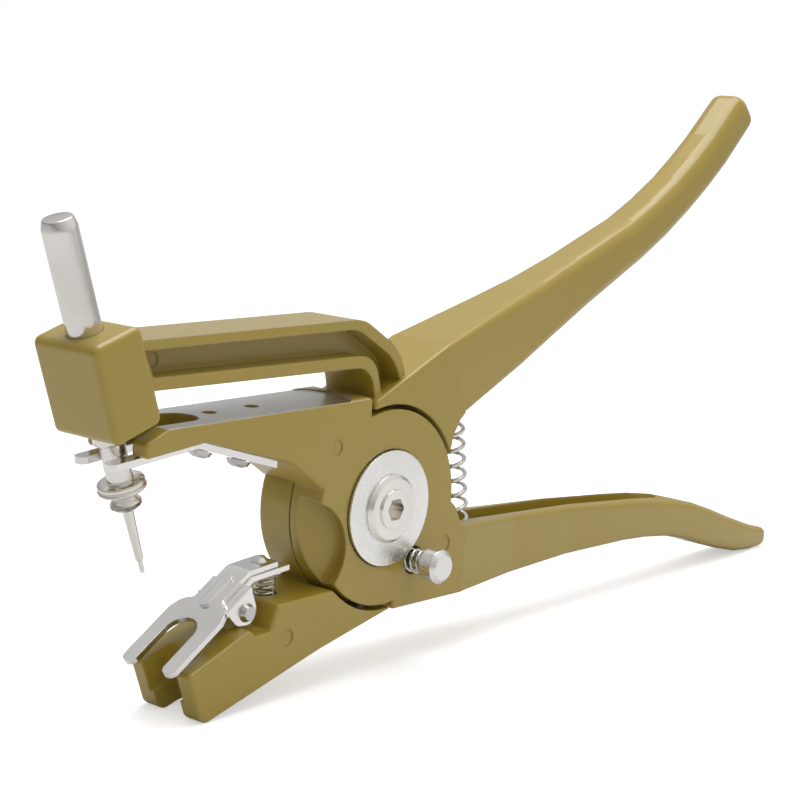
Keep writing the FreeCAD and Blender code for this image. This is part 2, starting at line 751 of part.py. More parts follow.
buttonRound = doc.addObject("Part::Cone", "button_round")
bind(buttonRound, Radius1="@lock_dia / 2", Radius2="@lock_dia / 2 - 1.3", Height="1.3 * 1")
buttonRound.Placement = Placement(Vector(0, -22.0, 0), Rotation(Vector(0, 0, 1), near))
buttonBack = doc.addObject("Part::Cone", "button_back")
bind(buttonBack, Radius1="@lock_dia / 2 - 0.8", Radius2="@lock_dia / 2", Height="0.8 * 1")
buttonBack.Placement = Placement(Vector(0, -17.2, 0), Rotation(Vector(0, 0, 1), near))
buttonSide = cylinder("button_side", "@lock_dia / 2", "4", y=-18.0, turn=near)
buttonSolid = fused("button_solid", [buttonRound, buttonBack, buttonSide])
buttonBore = cylinder("button_bore", "@lock_shank / 2 + 0.03", "3.5", y=-17.1, turn=near)
button = cut("lock_button", buttonSolid, buttonBore)

pinShank = cylinder("pin_shank", "@lock_shank / 2 - 0.01", "18.5", y=-20.5, turn=away)
pinFoot = cylinder("pin_foot", "@lock_foot / 2", "3.2", y=-3.8, turn=away)
lockPin = fused("lock_pin", [pinShank, pinFoot])


# ---------------------------------------------------------------- bent sheet pieces
def strip(body, name, line, thick, width):
    """Bent strip: an XZ centre line (x, z, bend radius) given a thickness, padded in Y."""
    points = [Vector(x, z, 0) for x, z, r in line]
    upper = []
    lower = []
    for i, point in enumerate(points):
        ahead = (points[min(i + 1, len(points) - 1)] - points[max(i, 0)])
        behind = (points[i] - points[i - 1]) if i > 0 else ahead
        if ahead.Length < 1e-9:
            ahead = behind
        ahead = Vector(ahead).normalize()
        behind = Vector(behind).normalize()
        normal = Vector(-(ahead.y + behind.y), ahead.x + behind.x, 0).normalize()
        stretch = thick / 2 / max(0.2, normal.dot(Vector(-ahead.y, ahead.x, 0)))
        turnLeft = behind.cross(ahead).z > 0
        bend = line[i][2]
        insideRadius = max(bend - thick / 2, 0.05) if bend > 0 else 0
        outsideRadius = bend + thick / 2 if bend > 0 else 0
        top = point + normal * stretch
        bottom = point - normal * stretch
        upper.append((top.x, top.y, insideRadius if turnLeft else outsideRadius))
        lower.append((bottom.x, bottom.y, outsideRadius if turnLeft else insideRadius))
    sketch = newSketch(body, "XZ_Plane", name)
    loop(sketch, upper + lower[::-1])
    return pad(body, sketch, width, symmetric=True)


fork = newBody("fork_plate")
strip(fork, "ForkSide", [(-100.4, 23.7, 0), (-71.5, 26.45, 6.0), (-40.8, 17.05, 0)], size("fork_thick"),
      "2 * @fork_half")
forkSlot = newSketch(fork, "XY_Plane", "ForkSlot")
forkHalf = size("fork_slot_half")
loop(forkSlot, [
    (-104.0, -forkHalf, 0),
    (-75.0, -forkHalf, forkHalf - 0.05),
    (-75.0, forkHalf, forkHalf - 0.05),
    (-104.0, forkHalf, 0),
])
pocket(fork, forkSlot, "60 * 1", reverse=True)


def isForkCorner(edge):
    box = span(edge)
    upright = box.YLength < 1e-3 and box.ZLength > 1.0 and box.XLength < 1.2
    return upright and (box.XMax < -98 or box.XMin > -42.5)


roundEdges(fork, "ForkCorners", "1.8 * 1", isForkCorner)
for index, reach in enumerate((9.0, 24.0), start=1):
    angle = math.radians(-17.0)
    hole = newSketch(fork, "XY_Plane", "ForkHole%d" % index,
                     tilted(-71.5 + reach * math.cos(angle), 27.4 + reach * math.sin(angle), 17.0))
    circle(hole, "2.05")
    pocket(fork, hole, "8 * 1", symmetric=True)

screws = []
for index, reach in enumerate((9.0, 24.0), start=1):
    angle = math.radians(-17.0)
    normal = Vector(-math.sin(angle), 0, math.cos(angle))
    top = Vector(-71.5, 0, 27.4) + Vector(math.cos(angle), 0, math.sin(angle)) * reach
    under = top - normal * (size("fork_thick") + 0.12)
    domes = [("dome", "3.5", "2.9", 1.3), ("crown", "2.9", "1.6", 0.7)]
    start = Vector(under)
    pieces = [cylinder("screw%d_shank" % index, "1.98", "9.6", *under, turn=normal)]
    for name, wide, narrow, high in domes:
        cone = doc.addObject("Part::Cone", "screw%d_%s" % (index, name))
        bind(cone, Radius1=wide, Radius2=narrow, Height="%g * 1" % high)
        cone.Placement = Placement(start, Rotation(Vector(0, 0, 1), normal * -1))
        start = start - normal * high
        pieces.append(cone)
    screws.append(fused("fork_screw_solid%d" % index, pieces))
forkScrews = doc.addObject("Part::Compound", "fork_screws")
forkScrews.Links = screws
forkScrews.Label = "fork_screws"

clipLean = math.degrees(math.atan2(21.0, 33.0))
clip = newBody("clip_fork")
strip(clip, "ClipSide", [(-80.5, -33.8, 0), (-47.5, -12.8, 3.0), (-36.8, -11.9, 0)], size("clip_thick"),
      "2 * @clip_half")
clipPlan = newSketch(clip, "XY_Plane", "ClipSlot", tilted(-80.5, -33.8, -clipLean))
clipSlot = size("clip_slot_half")
loop(clipPlan, [
    (-3.0, -clipSlot, 0),
    (19.0, -clipSlot, clipSlot - 0.05),
    (19.0, clipSlot, clipSlot - 0.05),
    (-3.0, clipSlot, 0),
])
pocket(clip, clipPlan, "20 * 1", symmetric=True)
neckPlan = newSketch(clip, "XY_Plane", "ClipNeck", tilted(-80.5, -33.8, -clipLean))
for side in (1, -1):
    corners = [
        (20.0, side * 12.0, 0),
        (20.0, side * 10.3, 0),
        (24.5, side * 8.6, 4.5),
        (26.4, side * 4.4, 3.0),
        (60.0, side * 4.4, 0),
        (60.0, side * 12.0, 0),
    ]
    loop(neckPlan, corners)
pocket(clip, neckPlan, "50 * 1", symmetric=True)


def isClipTip(edge):
    box = span(edge)
    return box.YLength < 1e-3 and box.XMax < -78.5 and 0.9 < edge.Length < 2.0


roundEdges(clip, "ClipTips", "2.2 * 1", isClipTip)
ribPlan = newSketch(clip, "XY_Plane", "ClipRib", tilted(-80.5, -33.8, -clipLean))
bind(ribPlan, AttachmentOffset__Base__z="0 - 33.8")
loop(ribPlan, [
    (23.5, -1.7, 1.65),
    (36.0, -1.7, 1.65),
    (36.0, 1.7, 1.65),
    (23.5, 1.7, 1.65),
])
pad(clip, ribPlan, "@clip_thick / 2 + 0.8")

bracket = newBody("clip_bracket")
strip(bracket, "BracketSide", [(-58.4, -21.7, 0), (-46.9, -14.4, 3.0), (-32.8, -13.3, 0)],
      size("clip_thick"), "2 * 5.0")
for side, name in ((1, "EarFar"), (-1, "EarNear")):
    ear = newSketch(bracket, "XZ_Plane", name)
    bind(ear, AttachmentOffset__Base__z="%d * 5.8" % (-side))
    loop(ear, [
        (-58.9, -21.4, 1.0),
        (-49.9, -15.8, 1.0),
        (-47.3, -22.2, 4.0),
        (-49.2, -26.1, 3.4),
        (-54.9, -25.7, 3.4),
    ])
    pad(bracket, ear, "@clip_thick", reverse=(side > 0))
    web = newSketch(bracket, "XZ_Plane", name + "Web")
    bind(web, AttachmentOffset__Base__z="%d * 4.9" % (-side))
    loop(web, [
        (-58.7, -22.6, 0),
        (-58.9, -21.2, 0),
        (-49.9, -15.4, 0),
        (-49.2, -16.8, 0),
    ])
    pad(bracket, web, "@clip_thick + 0.9", reverse=(side > 0))
earHole = newSketch(bracket, "XZ_Plane", "EarHole")
circle(earHole, "@clip_pin_dia / 2 + 0.05", "@clip_pin_x", "@clip_pin_z")
pocket(bracket, earHole, symmetric=True)

for body, name in ((clip, "ClipRivetHole"), (bracket, "BracketRivetHole")):
    rivetHole = newSketch(body, "XY_Plane", name, tilted(size("rivet_x"), size("rivet_z"), -4.7))
    circle(rivetHole, "1.35")
    pocket(body, rivetHole, "10 * 1", symmetric=True)

rivetHead = doc.addObject("Part::Cone", "rivet_head")
bind(rivetHead, Radius1="2.5", Radius2="1.5", Height="1.3 * 1")
rivetHead.Placement = Placement(Vector(0, 0, 0.84), Rotation())
rivetStem = cylinder("rivet_stem", "1.2", "3.6", z=-2.4)
rivet = fused("clip_rivet", [rivetHead, rivetStem])

pinHead = doc.addObject("Part::Cone", "pin_head")
bind(pinHead, Radius1="2.7", Radius2="1.9", Height="1.5 * 1")
pinHead.Placement = Placement(Vector(0, -7.45, 0), Rotation(Vector(0, 0, 1), near))
pinBody = cylinder("pin_body", "@clip_pin_dia / 2", "18", y=-7.6, turn=away)
pinScrew = fused("clip_pivot_screw", [pinHead, pinBody])

clipNutHex = hexagon("clip_nut_hex", "5.5", "2.4", 7.45)
clipNutBore = cylinder("clip_nut_bore", "@clip_pin_dia / 2 + 0.03", "6", y=6.0, turn=away)
clipNut = cut("clip_pivot_nut", clipNutHex, clipNutBore)


# ---------------------------------------------------------------- springs
def coil(name, radius, wire, length, turns):
    """Round-wire compression spring along its own Z axis."""
    helix = doc.addObject("Part::Helix", name + "_path")
    helix.Radius = radius
    helix.Pitch = length / turns
    helix.Height = length
    helix.SegmentLength = 1.0
    ring = doc.addObject("Part::RegularPolygon", name + "_wire")
    ring.Polygon = 5
    ring.Circumradius = wire / 2
    ring.Placement = Placement(Vector(radius, 0, 0), Rotation(Vector(1, 0, 0), 90))
    sweep = doc.addObject("Part::Sweep", name)
    sweep.Sections = [ring]
    sweep.Spine = (helix, [])
    sweep.Solid = True
    sweep.Frenet = True
    sweep.Label = name
    return sweep


mainSpring = coil("main_spring", size("spring_radius"), size("spring_wire"), 57.0, 12.5)
lockSpring = coil("lock_spring", 3.2, 0.9, 9.7, 4.5)
clipSpring = coil("clip_spring", 2.7, 0.7, 6.7, 4.0)

# ---------------------------------------------------------------- places
pivotPieces = [frame, lever, fork, clip, bracket, forkScrews]
turn = Rotation(Vector(0, 1, 0), -size("rod_tilt"))
lean = math.radians(size("rod_tilt"))


def place(piece, x="0", y="0", z="0", rotation=None):
    """Put a sub-part at the hub pivot, moved by sheet expressions."""
    piece.Placement = Placement(Vector(0, 0, 0), rotation or Rotation())
    bind(piece, Placement__Base__x="@pivot_x + " + x,
         Placement__Base__y=y + " + 0",
         Placement__Base__z="@pivot_z + " + z)


for piece in pivotPieces + [bush, washer, shim, farWasher, nut, bolt]:
    place(piece)


def onRod(piece, height):
    """Put a turned piece on the plunger axis, its foot at a height along the axis."""
    place(piece, "@rod_foot_x - (%s) * sin(@rod_tilt)" % height, "0", "(%s) * cos(@rod_tilt)" % height, turn)


onRod(rod, "@flange_top - @flange_thick")
onRod(needle, "@flange_top - @flange_thick - @collar_long - @needle_long - @point_long")
place(rivet, "@rivet_x", "0", "@rivet_z", Rotation(Vector(0, 1, 0), -4.7))
for piece in (button, lockPin):
    place(piece, "@lock_x", "0", "@lock_z")
for piece in (pinScrew, clipNut):
    place(piece, "@clip_pin_x", "0", "@clip_pin_z")
place(mainSpring, "46.6", "0", "(0 - 26.9)", Rotation(Vector(0, 0, 1), Vector(-6.9, 0, 50.6)))
place(lockSpring, "@lock_x", "(0 - 7.0)", "@lock_z", Rotation(Vector(0, 0, 1), near))
place(clipSpring, "(0 - 37.4)", "0", "(0 - 21.9)")

doc.recompute()

nodes = pivotPieces + [rivet, bush, washer, shim, farWasher, nut, bolt, rod, needle, button, lockPin, pinScrew,
                       clipNut, mainSpring, lockSpring, clipSpring]

# ---------------------------------------------------------------- checks and export
for thing in doc.Objects:
    if "Invalid" in thing.State or "Error" in thing.State:
        raise ValueError(thing.Name + " failed")
os.makedirs("parts", exist_ok=True)
whole = None
for node in nodes:
    shape = node.Shape
    if shape.isNull() or not shape.isValid():
        raise ValueError(node.Label + " has no valid shape")
    shape.exportStep("parts/%s.step" % node.Label)
    bounds = shape.BoundBox
    print("%-18s solids %d volume %9.1f  x %7.2f %7.2f  y %6.2f %6.2f  z %7.2f %7.2f" % (
        node.Label, len(shape.Solids), shape.Volume, bounds.XMin, bounds.XMax, bounds.YMin,
        bounds.YMax, bounds.ZMin, bounds.ZMax))
    if whole is None:
        whole = FreeCAD.BoundBox(bounds)
    else:
        whole.add(bounds)
print("all: x %.2f %.2f  y %.2f %.2f  z %.2f %.2f" % (
    whole.XMin, whole.XMax, whole.YMin, whole.YMax, whole.ZMin, whole.ZMax))
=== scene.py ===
import math
import bpy
import numpy as np
from mathutils import Matrix, Vector


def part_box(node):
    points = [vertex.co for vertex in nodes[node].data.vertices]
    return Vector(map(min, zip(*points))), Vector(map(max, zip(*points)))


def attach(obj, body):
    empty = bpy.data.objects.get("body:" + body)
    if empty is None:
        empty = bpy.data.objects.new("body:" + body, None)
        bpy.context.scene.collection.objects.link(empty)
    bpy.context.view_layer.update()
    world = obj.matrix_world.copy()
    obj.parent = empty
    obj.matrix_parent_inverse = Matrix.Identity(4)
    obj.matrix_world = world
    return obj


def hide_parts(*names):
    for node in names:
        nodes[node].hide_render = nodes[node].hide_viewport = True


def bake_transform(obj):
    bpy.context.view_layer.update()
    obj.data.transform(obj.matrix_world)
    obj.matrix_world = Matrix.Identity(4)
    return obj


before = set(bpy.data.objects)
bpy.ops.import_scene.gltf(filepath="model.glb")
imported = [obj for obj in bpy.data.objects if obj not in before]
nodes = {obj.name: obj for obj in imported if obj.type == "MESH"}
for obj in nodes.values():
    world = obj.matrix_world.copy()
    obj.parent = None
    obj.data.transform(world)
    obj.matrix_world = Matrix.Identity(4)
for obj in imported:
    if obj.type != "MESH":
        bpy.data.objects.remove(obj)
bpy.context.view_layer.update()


def middle(node):
    low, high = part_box(node)
    return np.array((low + high) / 2)


mm = 0.001
pivot = middle("pivot_bush")
pivot[1] = 0.0
rodTilt = math.radians(18.0)
rodAxis = np.array([-math.sin(rodTilt), 0.0, math.cos(rodTilt)])
rodFoot = pivot + np.array([-85.0, 0.0, 0.0]) * mm


# meshes from arrays
def newPiece(name, points, faces, smooth=True):
    mesh = bpy.data.meshes.new(name)
    mesh.from_pydata(points.reshape(-1, 3), [], faces.tolist() if isinstance(faces, np.ndarray) else faces)
    mesh.validate()
    mesh.polygons.foreach_set("use_smooth", np.full(len(mesh.polygons), smooth))
    piece = bpy.data.objects.new(name, mesh)
    bpy.context.scene.collection.objects.link(piece)
    return piece


def gridFaces(rows, columns, wrap):
    # quads of a rows x columns grid, columns closed when wrap
    last = columns if wrap else columns - 1
    i, j = np.meshgrid(np.arange(rows - 1), np.arange(last), indexing="ij")
    k = (j + 1) % columns
    low = i * columns
    high = low + columns
    return np.stack([low + j, low + k, high + k, high + j], -1).reshape(-1, 4)


def sweptTube(name, path, radius, sides=12):
    # circle of given radius carried along path, closed by a rounded cap at each end
    tangent = np.gradient(path, axis=0)
    tangent /= np.linalg.norm(tangent, axis=1, keepdims=True)
    up = np.array([0.31, 0.17, 0.94])
    side = np.cross(tangent, up)
    side /= np.linalg.norm(side, axis=1, keepdims=True)
    upward = np.cross(side, tangent)
    turn = np.linspace(0, 2 * np.pi, sides, endpoint=False)
    ring = np.cos(turn)[None, :, None] * side[:, None, :] + np.sin(turn)[None, :, None] * upward[:, None, :]
    points = path[:, None, :] + ring * radius
    capLow = path[0] + ring[0] * radius * 0.7 - tangent[0] * radius * 0.5
    capHigh = path[-1] + ring[-1] * radius * 0.7 + tangent[-1] * radius * 0.5
    points = np.concatenate([capLow[None], points, capHigh[None]], 0)
    faces = gridFaces(len(points), sides, True)[:, ::-1].tolist()
    faces.append(list(range(sides)))
    total = len(points) * sides
    faces.append(list(range(total - 1, total - sides - 1, -1)))
    return newPiece(name, points, faces)


def coilPath(low, high, radius, turns, closed=0.9, taper=0.0, perTurn=28):
    # helix from low to high: the pitch narrows over the closed end turns, the radius by taper at the top
    axis = high - low
    length = np.linalg.norm(axis)
    axis = axis / length
    across = np.cross(axis, [0.0, 1.0, 0.0])
    across /= np.linalg.norm(across)
    around = np.cross(axis, across)
    count = int(turns * perTurn)
    t = np.linspace(0, 1, count)
    turned = t * turns
    rise = np.clip(turned / closed, 0, 1) * np.clip((turns - turned) / closed, 0, 1)
    climb = np.cumsum(0.22 + 0.78 * rise)
    climb = (climb - climb[0]) / (climb[-1] - climb[0])
    angle = 2 * np.pi * turned
    reach = radius * (1 - taper * np.clip((t - 0.75) / 0.25, 0, 1))
    return (low + np.outer(climb * length, axis) + (reach * np.cos(angle))[:, None] * across
            + (reach * np.sin(angle))[:, None] * around)


def rounded(profile, steps=5):
    # profile of (radius, height, rounding) corners turned into a smooth line of points
    line = []
    count = len(profile)
    for index, (r, h, soft) in enumerate(profile):
        here = np.array([r, h])
        if soft <= 0 or index in (0, count - 1):
            line.append(here)
            continue
        before = np.array(profile[index - 1][:2]) - here
        after = np.array(profile[index + 1][:2]) - here
        first = here + before / np.linalg.norm(before) * soft
        last = here + after / np.linalg.norm(after) * soft
        for t in np.linspace(0, 1, steps):
            line.append((1 - t) ** 2 * first + 2 * t * (1 - t) * here + t * t * last)
    return np.array(line)


def turnedPiece(name, profile, foot, axis, sides=64, steps=5):
    # profile (radius, height) turned about an axis through foot
    line = rounded(profile, steps) * mm
    axis = np.array(axis, float)
    across = np.cross(axis, [0.0, 1.0, 0.0] if abs(axis[1]) < 0.9 else [1.0, 0.0, 0.0])
    across /= np.linalg.norm(across)
    around = np.cross(axis, across)
    angle = np.linspace(0, 2 * np.pi, sides, endpoint=False)
    ring = np.cos(angle)[:, None] * across + np.sin(angle)[:, None] * around
    points = foot + line[:, 0][:, None, None] * ring[None] + (line[:, 1][:, None] * axis)[:, None, :]
    faces = gridFaces(len(line), sides, True).tolist()
    faces.append(list(range(sides - 1, -1, -1)))
    total = len(line) * sides
    faces.append(list(range(total - sides, total)))
    return newPiece(name, points, faces)


# shared shader groups
def newGroup(name, inputs, outputs):
    group = bpy.data.node_groups.new(name, "ShaderNodeTree")
    for label, kind, value in inputs:
        entry = group.interface.new_socket(name=label, in_out="INPUT", socket_type=kind)
        if value is not None:
            entry.default_value = value
    for label, kind in outputs:
        group.interface.new_socket(name=label, in_out="OUTPUT", socket_type=kind)
    return group, group.nodes.new("NodeGroupInput"), group.nodes.new("NodeGroupOutput")


def addNode(tree, kind, **values):
    node = tree.nodes.new(kind)
    for key, value in values.items():
        setattr(node, key, value)
    return node


def addMath(tree, operation, first, second=None, clamp=False):
    node = addNode(tree, "ShaderNodeMath", operation=operation, use_clamp=clamp)
    for index, value in enumerate((first, second)):
        if value is None:
            continue
        if isinstance(value, (int, float)):
            node.inputs[index].default_value = value
        else:
            tree.links.new(value, node.inputs[index])
    return node.outputs[0]


def noiseAt(tree, coordinates, scale, detail=2.0, rough=0.5):
    noise = addNode(tree, "ShaderNodeTexNoise")
    noise.inputs["Scale"].default_value = scale
    noise.inputs["Detail"].default_value = detail
    noise.inputs["Roughness"].default_value = rough
    tree.links.new(coordinates, noise.inputs["Vector"])
    return noise.outputs["Fac"]


def remap(tree, value, low, high, newLow=0.0, newHigh=1.0):
    node = addNode(tree, "ShaderNodeMapRange")
    node.inputs["From Min"].default_value = low
    node.inputs["From Max"].default_value = high
    node.inputs["To Min"].default_value = newLow
    node.inputs["To Max"].default_value = newHigh
    tree.links.new(value, node.inputs["Value"])
    return node.outputs[0]


def softEdges():
    # normals rounded at edges, and a mask that is 1 along them
    group, given, result = newGroup("softEdges", [("Radius", "NodeSocketFloat", 0.0006)],
                                    [("Normal", "NodeSocketVector"), ("Edge", "NodeSocketFloat")])
    bevel = addNode(group, "ShaderNodeBevel", samples=6)
    group.links.new(given.outputs["Radius"], bevel.inputs["Radius"])
    geometry = addNode(group, "ShaderNodeNewGeometry")
    dot = addNode(group, "ShaderNodeVectorMath", operation="DOT_PRODUCT")
    group.links.new(bevel.outputs[0], dot.inputs[0])
    group.links.new(geometry.outputs["Normal"], dot.inputs[1])
    edge = remap(group, dot.outputs["Value"], 0.995, 0.90)
    group.links.new(bevel.outputs[0], result.inputs["Normal"])
    group.links.new(edge, result.inputs["Edge"])
    return group


def speckle():
    # fine dust and slow unevenness, both around 0.5
    masks = [("Fine", "NodeSocketFloat"), ("Slow", "NodeSocketFloat"), ("Peel", "NodeSocketFloat")]
    group, given, result = newGroup("speckle", [("Scale", "NodeSocketFloat", 1.0)], masks)
    place = addNode(group, "ShaderNodeTexCoord")
    scaled = addNode(group, "ShaderNodeVectorMath", operation="SCALE")
    group.links.new(place.outputs["Object"], scaled.inputs[0])
    group.links.new(given.outputs["Scale"], scaled.inputs["Scale"])
    group.links.new(noiseAt(group, scaled.outputs[0], 1400.0, 2.0, 0.6), result.inputs["Fine"])
    group.links.new(noiseAt(group, scaled.outputs[0], 28.0, 3.0), result.inputs["Slow"])
    group.links.new(noiseAt(group, scaled.outputs[0], 420.0, 1.0), result.inputs["Peel"])
    return group


edgeGroup = softEdges()
speckleGroup = speckle()


def newMaterial(name):
    material = bpy.data.materials.new(name)
    material.use_nodes = True
    tree = material.node_tree
    return material, tree, tree.nodes["Principled BSDF"]


def useGroup(tree, group, **values):
    node = addNode(tree, "ShaderNodeGroup", node_tree=group)
    for key, value in values.items():
        node.inputs[key].default_value = value
    return node


def mixColour(tree, factor, first, second):
    mix = addNode(tree, "ShaderNodeMix", data_type="RGBA")
    tree.links.new(factor, mix.inputs["Factor"])
    for socket, value in ((mix.inputs[6], first), (mix.inputs[7], second)):
        if isinstance(value, tuple):
            socket.default_value = (*value, 1.0)
        else:
            tree.links.new(value, socket)
    return mix.outputs[2]


def bumped(tree, height, normal, strength, distance):
    bump = addNode(tree, "ShaderNodeBump")
    bump.inputs["Strength"].default_value = strength
    bump.inputs["Distance"].default_value = distance
    tree.links.new(height, bump.inputs["Height"])
    tree.links.new(normal, bump.inputs["Normal"])
    return bump.outputs[0]


# the lighter edge colour is partly a painted highlight along the rounded edges, partly paint worn thin there
paintLook = {"colour": (0.385, 0.272, 0.030), "edgeHighlightAndWearColour": (0.45, 0.33, 0.06),
             "deepColour": (0.33, 0.232, 0.024), "roughness": 0.34, "peel": 0.04,
             "edgeRound": 0.0011, "coat": 0.45, "coatRoughness": 0.08, "specular": 0.5}
bareLook = {"colour": (0.74, 0.74, 0.72), "dark": (0.60, 0.60, 0.58), "rough": (0.28, 0.42),
            "level": 0.03255, "reach": 0.00006, "streaks": (60.0, 2600.0, 60.0)}


def paintMaterial(name, bareHeight=None):
    # olive enamel over a casting; bareHeight is the level of the face that was milled after painting
    material, tree, shader = newMaterial(name)
    edges = useGroup(tree, edgeGroup, Radius=paintLook["edgeRound"])
    dots = useGroup(tree, speckleGroup, Scale=1.0)
    slow = remap(tree, dots.outputs["Slow"], 0.35, 0.65)
    body = mixColour(tree, slow, paintLook["deepColour"], paintLook["colour"])
    blended = mixColour(tree, addMath(tree, "MULTIPLY", slow, 0.35), paintLook["colour"], body)
    # edges turn lighter: painted highlight along the edges, partly worn thin paint
    edgeHighlightAndWearMask = addMath(tree, "MULTIPLY", edges.outputs["Edge"], 0.5, clamp=True)
    painted = mixColour(tree, edgeHighlightAndWearMask, blended, paintLook["edgeHighlightAndWearColour"])
    glossy = paintLook["roughness"] - 0.05
    rough = remap(tree, dots.outputs["Fine"], 0.3, 0.7, glossy, glossy + 0.1)
    normal = bumped(tree, dots.outputs["Peel"], edges.outputs["Normal"], paintLook["peel"], 0.0004)
    if bareHeight is None:
        tree.links.new(painted, shader.inputs["Base Color"])
        tree.links.new(rough, shader.inputs["Roughness"])
    else:
        place = addNode(tree, "ShaderNodeTexCoord")
        split = addNode(tree, "ShaderNodeSeparateXYZ")
        tree.links.new(place.outputs["Object"], split.inputs[0])
        off = addMath(tree, "ABSOLUTE", addMath(tree, "SUBTRACT", split.outputs["Z"], bareHeight))
        bare = addMath(tree, "LESS_THAN", off, bareLook["reach"])
        streak = addNode(tree, "ShaderNodeTexNoise")
        streak.inputs["Scale"].default_value = 1.0
        stretch = addNode(tree, "ShaderNodeVectorMath", operation="MULTIPLY")
        stretch.inputs[1].default_value = bareLook["streaks"]
        tree.links.new(place.outputs["Object"], stretch.inputs[0])
        tree.links.new(stretch.outputs[0], streak.inputs["Vector"])
        streaks = remap(tree, streak.outputs["Fac"], 0.3, 0.7)
        metal = mixColour(tree, streaks, bareLook["dark"], bareLook["colour"])
        tree.links.new(mixColour(tree, bare, painted, metal), shader.inputs["Base Color"])
        tree.links.new(bare, shader.inputs["Metallic"])
        roughMix = addNode(tree, "ShaderNodeMix", data_type="FLOAT")
        tree.links.new(bare, roughMix.inputs["Factor"])
        tree.links.new(rough, roughMix.inputs["A"])
        tree.links.new(remap(tree, streak.outputs["Fac"], 0.3, 0.7, *bareLook["rough"]), roughMix.inputs["B"])
        tree.links.new(roughMix.outputs[0], shader.inputs["Roughness"])
    tree.links.new(normal, shader.inputs["Normal"])
    shader.inputs["Coat Weight"].default_value = paintLook["coat"]
    shader.inputs["Coat Roughness"].default_value = paintLook["coatRoughness"]
    shader.inputs["Specular IOR Level"].default_value = paintLook["specular"]
    return material


steelLooks = {
    "platedSteel": {"colour": (0.92, 0.90, 0.87), "dark": (0.76, 0.745, 0.72),
                    "rough": (0.14, 0.24), "edge": 0.0003},
    "polishedSteel": {"colour": (0.90, 0.87, 0.82), "dark": (0.72, 0.69, 0.64),
                      "rough": (0.10, 0.20), "edge": 0.0002},
    "turnedSteel": {"colour": (0.92, 0.91, 0.88), "dark": (0.78, 0.77, 0.74),
                    "rough": (0.24, 0.34), "edge": 0.0003},
    "screwSteel": {"colour": (0.66, 0.65, 0.62), "dark": (0.44, 0.43, 0.41),
                   "rough": (0.18, 0.30), "edge": 0.0002},
    "springWire": {"colour": (0.84, 0.83, 0.80), "dark": (0.64, 0.63, 0.60),
                   "rough": (0.14, 0.24), "edge": 0.0001},
    "bushBronze": {"colour": (0.50, 0.37, 0.19), "dark": (0.36, 0.26, 0.13),
                   "rough": (0.28, 0.40), "edge": 0.0003},
}


def steelMaterial(name):
    look = steelLooks[name]
    material, tree, shader = newMaterial(name)
    edges = useGroup(tree, edgeGroup, Radius=look["edge"])
    dots = useGroup(tree, speckleGroup, Scale=1.0)
    slow = remap(tree, dots.outputs["Slow"], 0.3, 0.7)
    tone = mixColour(tree, slow, look["dark"], look["colour"])
    # edges take the full bright colour: a painted highlight along the steel's edges
    tree.links.new(mixColour(tree, edges.outputs["Edge"], tone, look["colour"]), shader.inputs["Base Color"])
    tree.links.new(remap(tree, dots.outputs["Fine"], 0.3, 0.7, *look["rough"]), shader.inputs["Roughness"])
    normal = bumped(tree, dots.outputs["Peel"], edges.outputs["Normal"], 0.03, 0.0002)
    tree.links.new(normal, shader.inputs["Normal"])
    shader.inputs["Metallic"].default_value = 1.0
    return material


steels = {name: steelMaterial(name) for name in steelLooks}
padLevel = float(pivot[2]) + bareLook["level"]
castPaint = paintMaterial("castPaint")
leverPaint = paintMaterial("leverPaint", padLevel)
print("materials made")


def finish(piece, material):
    piece.data.materials.clear()
    piece.data.materials.append(material)


steelNodes = {
    "platedSteel": ["fork_plate", "clip_fork", "clip_bracket", "clip_rivet"],
    "polishedSteel": ["pivot_bolt", "plunger_rod", "needle"],
    "turnedSteel": ["pivot_washer", "pivot_nut_washer", "lock_button", "lock_pin"],
    "screwSteel": ["fork_screws", "pivot_nut", "clip_pivot_screw", "clip_pivot_nut"],
    "springWire": ["main_spring", "lock_spring", "clip_spring"],
    "bushBronze": ["pivot_bush", "friction_washer"],
}
finish(nodes["frame_casting"], castPaint)
finish(nodes["lever_casting"], leverPaint)
for look, names in steelNodes.items():
    for name in names:
        finish(nodes[name], steels[look])

# springs: wire coils with closed ends, set between the two bodies they push apart
mainSpringSizes = {"wire": 0.66 * mm, "radius": 3.8 * mm, "turns": 12.5, "taper": 0.15,
                   "low": (46.5, -26.0), "high": (38.95, 29.4)}
lockSpringSizes = {"wire": 0.45 * mm, "radius": 3.2 * mm, "turns": 5.0}
clipSpringSizes = {"wire": 0.36 * mm, "radius": 2.7 * mm, "turns": 4.6}


def atPivot(x, z, y=0.0):
    return pivot + np.array([x, y, z]) * mm


low = atPivot(*mainSpringSizes["low"])
high = atPivot(*mainSpringSizes["high"])
mainPath = coilPath(low, high, mainSpringSizes["radius"], mainSpringSizes["turns"],
                    taper=mainSpringSizes["taper"])
mainCoil = sweptTube("mainCoil", mainPath, mainSpringSizes["wire"])
finish(mainCoil, steels["springWire"])
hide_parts("main_spring")
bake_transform(mainCoil)

lowBox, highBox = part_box("lock_spring")
wire = lockSpringSizes["wire"]
lockMiddle = middle("lock_pin")
near = np.array([lockMiddle[0], lowBox.y + wire, lockMiddle[2]])
deep = np.array([lockMiddle[0], highBox.y - wire, lockMiddle[2]])
# the axis is turned a hair off Y so that the coil's side vector is defined
lockCoil = sweptTube("lockCoil", coilPath(deep, near + np.array([1e-7, 0, 1e-7]), lockSpringSizes["radius"],
                                          lockSpringSizes["turns"]), wire)
finish(lockCoil, steels["springWire"])
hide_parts("lock_spring")
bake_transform(lockCoil)

